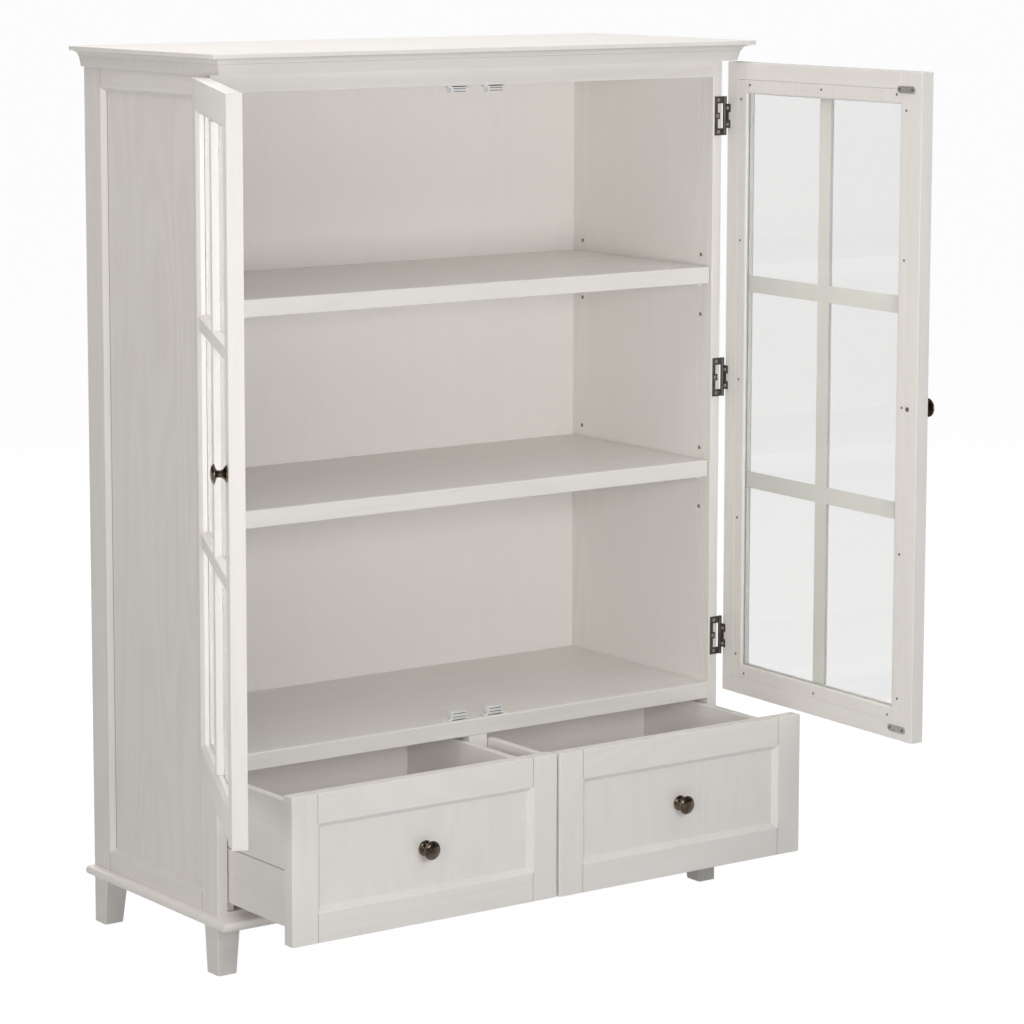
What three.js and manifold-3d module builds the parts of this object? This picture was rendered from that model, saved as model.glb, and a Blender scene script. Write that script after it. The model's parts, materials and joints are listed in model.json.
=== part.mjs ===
// China cabinet with two glazed doors over two drawers. Millimetres, +Z up, +X to the viewer's right, +Y to the back.
import * as THREE from 'three';
import { mergeVertices } from 'three/addons/utils/BufferGeometryUtils.js';
import Module from 'manifold-3d';

const wasm = await Module();
wasm.setup();

// ---- case ----
const CASE_W = 920;
const CASE_D = 359;
const HALF_W = CASE_W / 2;
const SIDE_T = 17;
const SIDE_IN = HALF_W - SIDE_T;
const BACK_T = 4;
const BACK_Y = CASE_D - BACK_T;
const FOOT_H = 75;
const CASE_TOP = 1320;
const BOARD_T = 26;
const DECK_Z = 295;
const LOWER_SHELF_Z = 648;
const UPPER_SHELF_Z = 951;
const CEILING_Z = 1270;
const SHELF_SETBACK = 3;
const SHELF_CLEARANCE = 1.5;
const DIVIDER_HALF = 16;
const BOTTOM_BOARD_T = 18;
const TOP_BOARD_T = 7;

// ---- side frame and panel ----
const SIDE_FRONT_STILE = 43;
const SIDE_REAR_STILE = 48;
const SIDE_PANEL_Z0 = 118;
const SIDE_PANEL_Z1 = 1267;
const SIDE_BEVEL = 6;
const SIDE_BEVEL_DEPTH = 8;
const PANEL_LAP = 8;

// ---- mouldings ----
const FRONT_EXTRA = 26;
const CORNICE_Z = CEILING_Z + BOARD_T;
const CORNICE_FOOT_OUT = 4.7;
const FASCIA_OUT = 8;
const FASCIA_H = 15;
const COVE_IN = 9.5;
const COVE_OUT = 23;
const COVE_Z = CORNICE_Z + 16;
const COVE_STEPS = 5;
const TOP_OUT = 25.3;
const BASE_OUT = 15.5;
const BASE_H = 13.5;
const NOSE_STEPS = 8;

// ---- feet ----
const FOOT_TOP = 38;
const FOOT_TIP = 31;

// ---- doors ----
const DOOR_GAP = 2.2;
const DOOR_T = 21.5;
const DOOR_Z0 = 309;
const DOOR_Z1 = 1293.5;
const DOOR_W = 458;
const DOOR_EDGE_IN = 0.7;
const AXIS_OUT = 5.2;
const AXIS_FRONT = 1.1;
const LEFT_DOOR_OPEN = 115.6;
const RIGHT_DOOR_OPEN = 87.9;
const SIGHT = 42;
const FRAME = 48;
const BEVEL_DEPTH = 6;
const LIP = 12;
const REBATE = 26;
const GLASS_T = 3;
const GLASS_CLEARANCE = 1.5;
const MUNTIN_BACK = 26.5;
const MUNTIN_FACE = 18;
const MUNTIN_FRONT_DEPTH = 2.5;
const FIT_GAP = 0.2;
const DOOR_KNOB_S = 437;
const DOOR_KNOB_Z = 803;

// ---- hinges ----
const HINGE_Z = [395, 804, 1210];
const HINGE_NAMES = ['bottom', 'middle', 'top'];
const HINGE_HALF = 30;
const LEAF_T = 1.6;
const LEAF_IN = 446;
const LEAF_SPINE = 451;
const LEAF_TAB = 455;
const LEAF_TAB_HALF = 5;
const DOOR_LEAF_IN = 452;
const DOOR_LEAF_NOTCH = 456.5;
const DOOR_LEAF_NOTCH_HALF = 6;
const DOOR_LEAF_HALF = 18.5;
const LEAF_CUT_HALF = 19.2;
const KNUCKLE_R = 3;
const KNUCKLE_SIDES = 16;
const DOOR_LEAF_LIFT = 0.1;

// ---- drawers ----
const FRONT_T = 21;
const FRONT_Z0 = 90;
const FRONT_Z1 = 304.5;
const FRONT_EDGE_GAP = 1.3;
const FRONT_REST_GAP = 1.5;
const LEFT_PULL = 177;
const RIGHT_PULL = 180;
const FRONT_FRAME = 43;
const FRONT_BEVEL = 7;
const FRONT_RECESS = 7;
const BOX_OUTER = 441;
const BOX_INNER = 17.5;
const BOX_T = 12;
const BOX_Z0 = 106;
const BOX_Z1 = 288;
const BOX_LENGTH = 336;
const BOTTOM_Z = 114;
const BOTTOM_T = 5;
const BOTTOM_LET_IN = 4;
const GROOVE_CLEARANCE = 0.3;
const RUNNER_W = 14;
const RUNNER_TOP = 105.5;
const RUNNER_FRONT = 6;
const RUNNER_BACK = 350;

// ---- knobs: radius, distance out from the mounting face ----
const KNOB_PROFILE = [
  [0, 0], [11.4, 0], [11.8, 0.8], [11.2, 2], [8.7, 3.3], [6, 5.1], [4.7, 7.4], [4.7, 9.5], [6.3, 11.5], [10.4, 12.8],
  [13.5, 14.1], [14, 15.7], [13.5, 17.5], [11.2, 19.6], [7.2, 21.3], [3.4, 22], [0, 22.2],
];
const KNOB_SIDES = 24;

const PAINT = { color: 0xe4e0db, roughness: 0.55, metalness: 0 };
const PANE = { color: 0xdfe8e8, roughness: 0.05, metalness: 0 };
const BRONZE = { color: 0x3a302a, roughness: 0.4, metalness: 0.9 };
const IRON = { color: 0x4a4643, roughness: 0.45, metalness: 0.9 };

function mesh(name, geometry, finish) {
  const made = new THREE.Mesh(geometry, new THREE.MeshStandardMaterial(finish));
  made.name = name;
  return made;
}

function box(x, y, z) {
  const [x0, x1] = [Math.min(...x), Math.max(...x)];
  const [y0, y1] = [Math.min(...y), Math.max(...y)];
  const [z0, z1] = [Math.min(...z), Math.max(...z)];
  const geometry = new THREE.BoxGeometry(x1 - x0, y1 - y0, z1 - z0);
  return geometry.translate((x0 + x1) / 2, (y0 + y1) / 2, (z0 + z1) / 2);
}

function bare(geometry) {
  const copy = geometry.clone();
  copy.deleteAttribute('normal');
  copy.deleteAttribute('uv');
  return mergeVertices(copy);
}

function solid(geometry) {
  const merged = bare(geometry);
  return new wasm.Manifold(new wasm.Mesh({
    numProp: 3,
    vertProperties: new Float32Array(merged.attributes.position.array),
    triVerts: new Uint32Array(merged.index.array),
  }));
}

function surface(manifold) {
  const found = manifold.getMesh();
  const geometry = new THREE.BufferGeometry();
  geometry.setAttribute('position', new THREE.BufferAttribute(new Float32Array(found.vertProperties), 3));
  geometry.setIndex(Array.from(found.triVerts));
  return geometry;
}

// Closed polyhedron from points and triangles, turned so that its faces point out.
function polyhedron(points, triangles) {
  const at = (i) => new THREE.Vector3(...points[i]);
  const volume = triangles.reduce((sum, [a, b, c]) => sum + at(a).dot(at(b).clone().cross(at(c))), 0);
  const facing = volume < 0 ? triangles.map(([a, b, c]) => [a, c, b]) : triangles;
  const geometry = new THREE.BufferGeometry();
  geometry.setAttribute('position', new THREE.Float32BufferAttribute(points.flat(), 3));
  geometry.setIndex(facing.flat());
  return geometry;
}

// Solid between two four-cornered outlines given in the same order.
function loft(first, second) {
  const triangles = [[0, 1, 2], [0, 2, 3], [4, 6, 5], [4, 7, 6]];
  for (let i = 0; i < 4; i += 1) {
    const j = (i + 1) % 4;
    triangles.push([i, j + 4, j], [i, i + 4, j + 4]);
  }
  return polyhedron([...first, ...second], triangles);
}

// Moulding swept round the left, front and right of the case. Each profile point is [out, z]; points with
// out = 0 lie on the case, the others stand further out at the front so that they cover the doors.
function caseMoulding(profile) {
  const points = [];
  const reach = (out) => (out === 0 ? 0 : out + FRONT_EXTRA);
  for (const corner of ['backLeft', 'frontLeft', 'frontRight', 'backRight']) {
    for (const [out, z] of profile) {
      const x = (corner.endsWith('Left') ? -1 : 1) * (HALF_W + out);
      points.push([x, corner.startsWith('back') ? CASE_D : -reach(out), z]);
    }
  }
  const n = profile.length;
  const triangles = [];
  for (let station = 0; station < 3; station += 1) {
    for (let i = 0; i < n; i += 1) {
      const j = (i + 1) % n;
      const [a, b] = [station * n + i, station * n + j];
      triangles.push([a, b, b + n], [a, b + n, a + n]);
    }
  }
  const outline = profile.map(([out, z]) => new THREE.Vector2(out, z));
  const turned = THREE.ShapeUtils.area(outline) < 0;
  for (const [a, b, c] of THREE.ShapeUtils.triangulateShape(outline, [])) {
    triangles.push(turned ? [a, b, c] : [a, c, b]);
    triangles.push(turned ? [a + 3 * n, c + 3 * n, b + 3 * n] : [a + 3 * n, b + 3 * n, c + 3 * n]);
  }
  return polyhedron(points, triangles);
}

function knob(name) {
  const outline = KNOB_PROFILE.map(([r, out]) => new THREE.Vector2(r, out));
  const geometry = bare(new THREE.LatheGeometry(outline, KNOB_SIDES));
  return mesh(name, geometry.rotateX(Math.PI), BRONZE);
}

// ---- case parts ----
function sideFrame(side) {
  const outer = side * HALF_W;
  const bottomOfBevel = side * (HALF_W - SIDE_BEVEL_DEPTH);
  const y0 = SIDE_FRONT_STILE;
  const y1 = CASE_D - SIDE_REAR_STILE;
  const outline = (x, inset) => [
    [x, y0 + inset, SIDE_PANEL_Z0 + inset], [x, y1 - inset, SIDE_PANEL_Z0 + inset],
    [x, y1 - inset, SIDE_PANEL_Z1 - inset], [x, y0 + inset, SIDE_PANEL_Z1 - inset],
  ];
  const ring = solid(box([outer, side * SIDE_IN], [0, CASE_D], [FOOT_H, CASE_TOP]));
  const bevel = solid(loft(outline(outer, 0), outline(bottomOfBevel, SIDE_BEVEL)));
  const rebate = solid(box(
    [bottomOfBevel, side * SIDE_IN],
    [y0 - PANEL_LAP, y1 + PANEL_LAP],
    [SIDE_PANEL_Z0 - PANEL_LAP, SIDE_PANEL_Z1 + PANEL_LAP],
  ));
  return surface(ring.subtract(bevel).subtract(rebate));
}

function sidePanel(side) {
  return box(
    [side * (HALF_W - SIDE_BEVEL_DEPTH), side * SIDE_IN],
    [SIDE_FRONT_STILE - PANEL_LAP, CASE_D - SIDE_REAR_STILE + PANEL_LAP],
    [SIDE_PANEL_Z0 - PANEL_LAP, SIDE_PANEL_Z1 + PANEL_LAP],
  );
}

function cornice() {
  const profile = [[0, CORNICE_Z], [CORNICE_FOOT_OUT, CORNICE_Z], [FASCIA_OUT, CORNICE_Z + FASCIA_H]];
  for (let i = 0; i <= COVE_STEPS; i += 1) {
    const angle = (i / COVE_STEPS) * (Math.PI / 2);
    profile.push([
      COVE_OUT - (COVE_OUT - COVE_IN) * Math.cos(angle),
      COVE_Z + (CASE_TOP - COVE_Z) * Math.sin(angle),
    ]);
  }
  profile.push([0, CASE_TOP]);
  return caseMoulding(profile);
}

function baseMoulding() {
  const radius = BASE_H / 2;
  const profile = [[0, FOOT_H]];
  for (let i = 0; i <= NOSE_STEPS; i += 1) {
    const angle = -Math.PI / 2 + (i / NOSE_STEPS) * Math.PI;
    profile.push([BASE_OUT - radius + radius * Math.cos(angle), FOOT_H + radius + radius * Math.sin(angle)]);
  }
  profile.push([0, FOOT_H + BASE_H]);
  return caseMoulding(profile);
}

// A foot: the two outer faces are upright and the two inner faces taper.
function foot(side, back) {
  const outline = (size, z) => {
    const [xOut, xIn] = [side * HALF_W, side * (HALF_W - size)];
    const [yOut, yIn] = back ? [CASE_D, CASE_D - size] : [0, size];
    return [[xOut, yOut, z], [xIn, yOut, z], [xIn, yIn, z], [xOut, yIn, z]];
  };
  return loft(outline(FOOT_TIP, 0), outline(FOOT_TOP, FOOT_H));
}

function addCase(group) {
  const add = (name, geometry) => group.add(mesh(name, geometry, PAINT));
  for (const [side, label] of [[-1, 'left'], [1, 'right']]) {
    add(`${label}_side_frame`, sideFrame(side));
    add(`${label}_side_panel`, sidePanel(side));
    add(`${label}_front_foot`, foot(side, false));
    add(`${label}_rear_foot`, foot(side, true));
    const wall = side * SIDE_IN;
    const post = side * DIVIDER_HALF;
    const runnerZ = [FOOT_H + BOTTOM_BOARD_T, RUNNER_TOP];
    add(`${label}_outer_runner`, box([wall, wall - side * RUNNER_W], [RUNNER_FRONT, RUNNER_BACK], runnerZ));
    add(`${label}_inner_runner`, box([post, post + side * RUNNER_W], [RUNNER_FRONT, RUNNER_BACK], runnerZ));
  }
  const inside = [-SIDE_IN, SIDE_IN];
  const shelfX = [-SIDE_IN + SHELF_CLEARANCE, SIDE_IN - SHELF_CLEARANCE];
  const boardAt = (z) => [z, z + BOARD_T];
  add('bottom_board', box(inside, [0, BACK_Y], [FOOT_H, FOOT_H + BOTTOM_BOARD_T]));
  add('centre_divider', box([-DIVIDER_HALF, DIVIDER_HALF], [0, BACK_Y], [FOOT_H + BOTTOM_BOARD_T, DECK_Z]));
  add('deck', box(inside, [0, BACK_Y], boardAt(DECK_Z)));
  add('lower_shelf', box(shelfX, [SHELF_SETBACK, BACK_Y], boardAt(LOWER_SHELF_Z)));
  add('upper_shelf', box(shelfX, [SHELF_SETBACK, BACK_Y], boardAt(UPPER_SHELF_Z)));
  add('ceiling_board', box(inside, [0, BACK_Y], boardAt(CEILING_Z)));
  add('back_panel', box(inside, [BACK_Y, CASE_D], [FOOT_H, CASE_TOP]));
  add('cornice', cornice());
  add('base_moulding', baseMoulding());
  const topX = HALF_W + TOP_OUT;
  add('top_board', box([-topX, topX], [-TOP_OUT - FRONT_EXTRA, CASE_D], [CASE_TOP, CASE_TOP + TOP_BOARD_T]));
}

// ---- hinges ----
function knuckle(x, y, z0, z1) {
  const barrel = new THREE.CylinderGeometry(KNUCKLE_R, KNUCKLE_R, z1 - z0, KNUCKLE_SIDES);
  return solid(barrel.rotateX(Math.PI / 2).translate(x, y, (z0 + z1) / 2));
}

function frameLeaf(side, z) {
  const axisX = HALF_W + AXIS_OUT;
  const at = (a, b) => [side * a, side * b];
  const y = [-LEAF_T, 0];
  const plate = solid(box(at(LEAF_IN, axisX), y, [z - HINGE_HALF, z + HINGE_HALF]));
  const cut = solid(box(at(LEAF_SPINE, axisX + 1), [-LEAF_T - 1, 1], [z - LEAF_CUT_HALF, z + LEAF_CUT_HALF]));
  const tab = solid(box(at(LEAF_IN, LEAF_TAB), y, [z - LEAF_TAB_HALF, z + LEAF_TAB_HALF]));
  return surface(plate.subtract(cut).add(tab)
    .add(knuckle(side * axisX, -AXIS_FRONT, z + LEAF_CUT_HALF, z + HINGE_HALF))
    .add(knuckle(side * axisX, -AXIS_FRONT, z - HINGE_HALF, z - LEAF_CUT_HALF)));
}

// The door's leaf, in the door's own frame: x and y from the hinge axis, door shut.
function doorLeaf(side, z) {
  const axisX = HALF_W + AXIS_OUT;
  const at = (a, b) => [side * (a - axisX), side * (b - axisX)];
  const y0 = AXIS_FRONT - DOOR_GAP + DOOR_LEAF_LIFT;
  const y = [y0, y0 + LEAF_T];
  const plate = solid(box(at(DOOR_LEAF_IN, axisX), y, [z - DOOR_LEAF_HALF, z + DOOR_LEAF_HALF]));
  const notch = solid(box(
    at(DOOR_LEAF_IN - 1, DOOR_LEAF_NOTCH),
    [y0 - 1, y0 + LEAF_T + 1],
    [z - DOOR_LEAF_NOTCH_HALF, z + DOOR_LEAF_NOTCH_HALF],
  ));
  return surface(plate.subtract(notch).add(knuckle(0, 0, z - DOOR_LEAF_HALF, z + DOOR_LEAF_HALF)));
}

// ---- doors ----
function door(side, label, openDegrees) {
  const group = new THREE.Group();
  group.position.set(side * (HALF_W + AXIS_OUT), -AXIS_FRONT, 0);
  group.rotation.z = side * THREE.MathUtils.degToRad(openDegrees);
  // s runs from the hinge edge to the free edge, depth from the outer face inwards.
  const atS = (s) => -side * (AXIS_OUT + DOOR_EDGE_IN + s);
  const outerY = AXIS_FRONT - DOOR_GAP - DOOR_T;
  const atDepth = (depth) => outerY + depth;
  const block = (s, depth, z) => box(s.map(atS), depth.map(atDepth), z);
  const add = (name, geometry, finish) => group.add(mesh(`${label}_door_${name}`, geometry, finish));
  const border = (inset, depth) => [
    [atS(inset), atDepth(depth), DOOR_Z0 + inset], [atS(DOOR_W - inset), atDepth(depth), DOOR_Z0 + inset],
    [atS(DOOR_W - inset), atDepth(depth), DOOR_Z1 - inset], [atS(inset), atDepth(depth), DOOR_Z1 - inset],
  ];
  const height = [DOOR_Z0, DOOR_Z1];
  const ring = solid(block([0, DOOR_W], [0, DOOR_T], height))
    .subtract(solid(loft(border(SIGHT, 0), border(FRAME, BEVEL_DEPTH))))
    .subtract(solid(block([FRAME, DOOR_W - FRAME], [0, DOOR_T], [DOOR_Z0 + FRAME, DOOR_Z1 - FRAME])))
    .subtract(solid(block([REBATE, DOOR_W - REBATE], [LIP, DOOR_T], [DOOR_Z0 + REBATE, DOOR_Z1 - REBATE])));
  const piece = (s, z) => surface(ring.intersect(solid(block(s, [0, DOOR_T], z))));
  const railS = [FRAME + FIT_GAP, DOOR_W - FRAME - FIT_GAP];
  add('hinge_stile', piece([0, FRAME], height), PAINT);
  add('lock_stile', piece([DOOR_W - FRAME, DOOR_W], height), PAINT);
  add('top_rail', piece(railS, [DOOR_Z1 - FRAME, DOOR_Z1]), PAINT);
  add('bottom_rail', piece(railS, [DOOR_Z0, DOOR_Z0 + FRAME]), PAINT);

  const open = FRAME + FIT_GAP;
  const glassIn = REBATE + GLASS_CLEARANCE;
  const glassDepth = [LIP + FIT_GAP, LIP + FIT_GAP + GLASS_T];
  const glassZ = [DOOR_Z0 + glassIn, DOOR_Z1 - glassIn];
  add('glass', block([glassIn, DOOR_W - glassIn], glassDepth, glassZ), PANE);

  // Glazing bars: one upright and two level bars, bevelled towards the room and made as one grille.
  const paneH = (DOOR_Z1 - DOOR_Z0 - 2 * FRAME - 2 * MUNTIN_BACK) / 3;
  const upright = (half, depth) => [
    [atS(DOOR_W / 2 - half), atDepth(depth), DOOR_Z0 + open],
    [atS(DOOR_W / 2 + half), atDepth(depth), DOOR_Z0 + open],
    [atS(DOOR_W / 2 + half), atDepth(depth), DOOR_Z1 - open],
    [atS(DOOR_W / 2 - half), atDepth(depth), DOOR_Z1 - open],
  ];
  const level = (z, half, depth) => [
    [atS(open), atDepth(depth), z - half], [atS(DOOR_W - open), atDepth(depth), z - half],
    [atS(DOOR_W - open), atDepth(depth), z + half], [atS(open), atDepth(depth), z + half],
  ];
  const barLoft = (shape) => solid(loft(shape(MUNTIN_FACE / 2, MUNTIN_FRONT_DEPTH), shape(MUNTIN_BACK / 2, LIP)));
  let grille = barLoft(upright);
  for (const row of [1, 2]) {
    const z = DOOR_Z0 + FRAME + row * paneH + (row - 0.5) * MUNTIN_BACK;
    grille = grille.add(barLoft((half, depth) => level(z, half, depth)));
  }
  add('glazing_bars', surface(grille), PAINT);

  const handle = knob(`${label}_door_knob`);
  handle.position.set(atS(DOOR_KNOB_S), outerY, DOOR_KNOB_Z);
  group.add(handle);
  HINGE_Z.forEach((z, i) => add(`${HINGE_NAMES[i]}_hinge_leaf`, doorLeaf(side, z), IRON));
  return group;
}

// ---- drawers: modelled shut, then drawn out by their group ----
function drawer(side, label, pull) {
  const group = new THREE.Group();
  group.position.y = -pull;
  const at = (a, b) => [side * a, side * b];
  const add = (name, geometry) => group.add(mesh(`${label}_drawer_${name}`, geometry, PAINT));
  const backOfFront = -FRONT_REST_GAP;
  const face = backOfFront - FRONT_T;
  const [x0, x1] = [FRONT_EDGE_GAP, HALF_W];
  const outline = (inset, y) => [
    [side * (x0 + inset), y, FRONT_Z0 + inset], [side * (x1 - inset), y, FRONT_Z0 + inset],
    [side * (x1 - inset), y, FRONT_Z1 - inset], [side * (x0 + inset), y, FRONT_Z1 - inset],
  ];
  const recess = loft(outline(FRONT_FRAME, face), outline(FRONT_FRAME + FRONT_BEVEL, face + FRONT_RECESS));
  const front = solid(box(at(x0, x1), [face, backOfFront], [FRONT_Z0, FRONT_Z1])).subtract(solid(recess));
  add('front', surface(front));
  const handle = knob(`${label}_drawer_knob`);
  handle.position.set(side * (x0 + x1) / 2, face + FRONT_RECESS, (FRONT_Z0 + FRONT_Z1) / 2);
  group.add(handle);

  const boxBack = backOfFront + BOX_LENGTH;
  const sideY = [backOfFront, boxBack];
  const boxZ = [BOX_Z0, BOX_Z1];
  const inner = [BOX_INNER + BOX_T, BOX_OUTER - BOX_T];
  const bottomX = at(inner[0] - BOTTOM_LET_IN, inner[1] + BOTTOM_LET_IN);
  const grooveZ = [BOTTOM_Z - GROOVE_CLEARANCE, BOTTOM_Z + BOTTOM_T + GROOVE_CLEARANCE];
  const groove = solid(box(
    at(inner[0] - BOTTOM_LET_IN - GROOVE_CLEARANCE, inner[1] + BOTTOM_LET_IN + GROOVE_CLEARANCE), sideY, grooveZ,
  ));
  const grooved = (geometry) => surface(solid(geometry).subtract(groove));
  add('outer_side', grooved(box(at(inner[1], BOX_OUTER), sideY, boxZ)));
  add('inner_side', grooved(box(at(BOX_INNER, inner[0]), sideY, boxZ)));
  add('back', box(at(...inner), [boxBack - BOX_T, boxBack], [grooveZ[1], BOX_Z1]));
  add('bottom', box(bottomX, [backOfFront, boxBack], [BOTTOM_Z, BOTTOM_Z + BOTTOM_T]));
  return group;
}

const cabinet = new THREE.Group();
addCase(cabinet);
for (const [side, label] of [[-1, 'left'], [1, 'right']]) {
  HINGE_Z.forEach((z, i) => {
    cabinet.add(mesh(`${label}_case_${HINGE_NAMES[i]}_hinge_leaf`, frameLeaf(side, z), IRON));
  });
}
cabinet.add(door(-1, 'left', LEFT_DOOR_OPEN), door(1, 'right', RIGHT_DOOR_OPEN));
cabinet.add(drawer(-1, 'left', LEFT_PULL), drawer(1, 'right', RIGHT_PULL));

// The origin is under the middle of the cabinet as it stands, doors and drawers open.
const root = new THREE.Group();
root.add(cabinet);
root.updateMatrixWorld(true);
const extent = new THREE.Box3().setFromObject(root, true);
const middle = extent.getCenter(new THREE.Vector3());
cabinet.position.set(-middle.x, -middle.y, -extent.min.z);

export default root;
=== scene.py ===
"""China cabinet with glass doors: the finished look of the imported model, in its frame, in metres."""
import json
import math

import bmesh
import bpy
from mathutils import Matrix, Vector

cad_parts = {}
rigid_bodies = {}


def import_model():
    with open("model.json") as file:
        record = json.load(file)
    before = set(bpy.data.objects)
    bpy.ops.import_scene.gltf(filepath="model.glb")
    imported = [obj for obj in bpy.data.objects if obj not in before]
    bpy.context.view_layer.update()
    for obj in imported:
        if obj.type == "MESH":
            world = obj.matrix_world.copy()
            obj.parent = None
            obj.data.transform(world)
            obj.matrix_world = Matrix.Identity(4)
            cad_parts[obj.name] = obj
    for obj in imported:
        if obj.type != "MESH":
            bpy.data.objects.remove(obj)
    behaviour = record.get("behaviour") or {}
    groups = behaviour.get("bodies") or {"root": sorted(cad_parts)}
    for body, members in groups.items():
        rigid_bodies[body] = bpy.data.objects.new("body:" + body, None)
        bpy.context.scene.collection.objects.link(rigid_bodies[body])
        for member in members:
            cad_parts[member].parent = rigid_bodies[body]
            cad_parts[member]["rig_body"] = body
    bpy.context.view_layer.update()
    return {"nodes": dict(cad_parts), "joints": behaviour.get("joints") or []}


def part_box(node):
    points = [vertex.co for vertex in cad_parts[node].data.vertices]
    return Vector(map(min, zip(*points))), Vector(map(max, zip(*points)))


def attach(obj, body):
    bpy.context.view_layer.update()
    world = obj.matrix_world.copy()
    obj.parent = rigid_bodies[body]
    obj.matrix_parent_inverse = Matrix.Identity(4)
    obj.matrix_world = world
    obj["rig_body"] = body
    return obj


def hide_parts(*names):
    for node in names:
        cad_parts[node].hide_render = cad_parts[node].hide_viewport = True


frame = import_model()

MM = 0.001
UP = Vector((0, 0, 1))
NODES = frame["nodes"]
JOINTS = {joint["child"]: joint for joint in frame["joints"]}
CASE_X = (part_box("back_panel")[0].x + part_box("back_panel")[1].x) / 2
FRONT_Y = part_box("left_side_frame")[0].y
X, Y, Z = 0, 1, 2
SIDES = (("left", -1), ("right", 1))
HINGE_PLACES = ("bottom", "middle", "top")


# ---- places ----
def case_point(x, y, z):
    """A point given in millimetres from the case's centre line, its front plane and the floor."""
    return Vector((CASE_X + x * MM, FRONT_Y + y * MM, z * MM))


def opened(body):
    """The move from a body's shut place to its place at rest."""
    if body not in JOINTS:
        return Matrix.Identity(4)
    joint = JOINTS[body]
    axis = Vector(joint["axis"])
    if joint["type"] == "slide":
        return Matrix.Translation(-axis * joint["range_m"][0])
    anchor = Matrix.Translation(Vector(joint["pos_m"]))
    swing = Matrix.Rotation(math.radians(-joint["range_deg"][0]), 4, axis)
    return anchor @ swing @ anchor.inverted()


def shut_box(node):
    """(lowest, highest) corner of a CAD node with its body shut."""
    back = opened(NODES[node]["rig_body"]).inverted()
    points = [back @ v.co for v in NODES[node].data.vertices]
    return tuple(Vector([pick(p[i] for p in points) for i in range(3)]) for pick in (min, max))


# ---- mesh building ----
def make_piece(name, body, build, materials, stands_for=()):
    """A smooth mesh that build(bm) draws with the body shut, moved to the body's place at rest."""
    bm = bmesh.new()
    build(bm)
    bmesh.ops.recalc_face_normals(bm, faces=bm.faces)
    bm.transform(opened(body))
    mesh = bpy.data.meshes.new(name)
    bm.to_mesh(mesh)
    bm.free()
    obj = bpy.data.objects.new(name, mesh)
    bpy.context.scene.collection.objects.link(obj)
    for material in materials:
        mesh.materials.append(material)
    mesh.polygons.foreach_set("use_smooth", [True] * len(mesh.polygons))
    weights = obj.modifiers.new("even_shading", "WEIGHTED_NORMAL")
    weights.keep_sharp = True
    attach(obj, body)
    if stands_for:
        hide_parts(*stands_for)
    return obj


def bridge(bm, rings, finish=0):
    """Faces between rings of vertices; a ring of one vertex is a pole."""
    steps = max(len(ring) for ring in rings)
    for a, b in zip(rings, rings[1:]):
        for i in range(steps):
            j = (i + 1) % steps
            corners = [a[i % len(a)], a[j % len(a)], b[j % len(b)], b[i % len(b)]]
            corners = [v for k, v in enumerate(corners) if v not in corners[:k]]
            if len(corners) > 2:
                bm.faces.new(corners).material_index = finish


def turned(bm, profile, origin, axis, steps=48, finish=0):
    """Turns (distance along the axis, radius) pairs in millimetres; a radius may depend on the step."""
    spin = axis.to_track_quat("Z", "Y").to_matrix()
    rings = []
    for along, radius in profile:
        count = 1 if radius == 0 else steps
        ring = []
        for i in range(count):
            reach = radius(i) if callable(radius) else radius
            angle = math.tau * i / steps
            point = Vector((reach * math.cos(angle), reach * math.sin(angle), along)) * MM
            ring.append(bm.verts.new(origin + spin @ point))
        rings.append(ring)
    bridge(bm, rings, finish)


SCREW_STEPS = 16
CROSS_ARMS = (0.62, 0.2, 0.17, 0.2)


def screw(bm, origin, axis, radius, finish=0):
    """A domed screw head with a cross recess, that starts just under the origin."""
    cross = lambda scale: lambda i: radius * scale * CROSS_ARMS[i % 4]
    profile = [
        (-0.3, 0),
        (-0.3, radius),
        (0.12 * radius, radius),
        (0.3 * radius, radius * 0.86),
        (0.36 * radius, radius * 0.68),
        (0.36 * radius, cross(1)),
        (0.05 * radius, cross(0.7)),
        (-0.02 * radius, 0),
    ]
    turned(bm, profile, origin, axis, SCREW_STEPS, finish)


def block(bm, lo, hi, soft, segments=3, finish=0):
    """A box with rounded arrises, between two opposite corners."""
    lo, hi = (Vector([pick(a, b) for a, b in zip(lo, hi)]) for pick in (min, max))
    size = hi - lo
    place = Matrix.Translation((lo + hi) / 2) @ Matrix.Diagonal((*size, 1))
    old = set(bm.faces)
    made = bmesh.ops.create_cube(bm, size=1, matrix=place)
    edges = list({e for v in made["verts"] for e in v.link_edges})
    bmesh.ops.bevel(
        bm, geom=edges, offset=soft * MM, segments=segments, profile=0.5, affect="EDGES", clamp_overlap=True
    )
    for face in bm.faces:
        if face not in old:
            face.material_index = finish


def loft(bm, sections, finish=0):
    """A closed solid through equal loops of points."""
    rings = [[bm.verts.new(p) for p in section] for section in sections]
    bridge(bm, rings, finish)
    for ring in (rings[0], rings[-1]):
        bm.faces.new(ring).material_index = finish


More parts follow.
